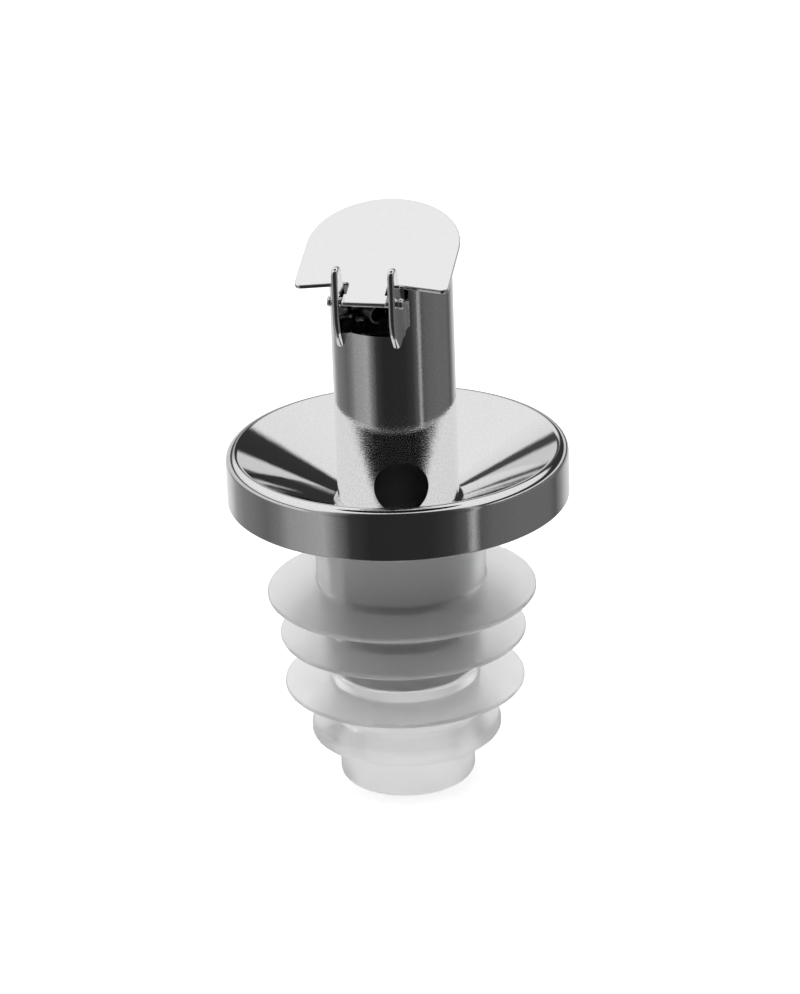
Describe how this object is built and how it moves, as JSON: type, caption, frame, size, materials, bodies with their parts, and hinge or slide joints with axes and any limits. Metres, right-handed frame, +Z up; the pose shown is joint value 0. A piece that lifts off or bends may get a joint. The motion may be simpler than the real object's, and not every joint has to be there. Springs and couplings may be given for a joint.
{
  "type": "liquor pour spout",
  "caption": "Steel spout tube with a hinged gravity flap over an oblique mouth, a drip dish with return hole and a finned silicone bottle stopper.",
  "frame": {"origin": "centre of the stopper's bottom face", "axes": "+Z up along the spout tube, hinge and window on the -Y side, hinge axis along X"},
  "size_m": [0.038, 0.038, 0.0658],
  "materials": {
    "steel_tube": "polished with fine drawn grain",
    "steel_lid": "polished flat stamping",
    "steel_pin": "polished",
    "steel_dish": "polished, faint spin marks",
    "solder": "dull",
    "silicone": "frosted translucent",
    "steel_vent": "drawn"
  },
  "bodies": {
    "spout": {"pour_tube": "steel_tube", "drip_dish": "steel_dish", "solder_ring": "solder", "stopper": "silicone", "vent_tube": "steel_vent", "vent_clip": "steel_vent"},
    "flap": {"lid": "steel_lid", "hinge_pin": "steel_pin"}
  },
  "joints": [
    {"name": "lid_hinge", "type": "hinge", "parent": "spout", "child": "flap", "pos_m": [-0.00105, -0.0085, 0.05965], "axis": [1, 0, 0], "range_deg": [0, 26]}
  ]
}
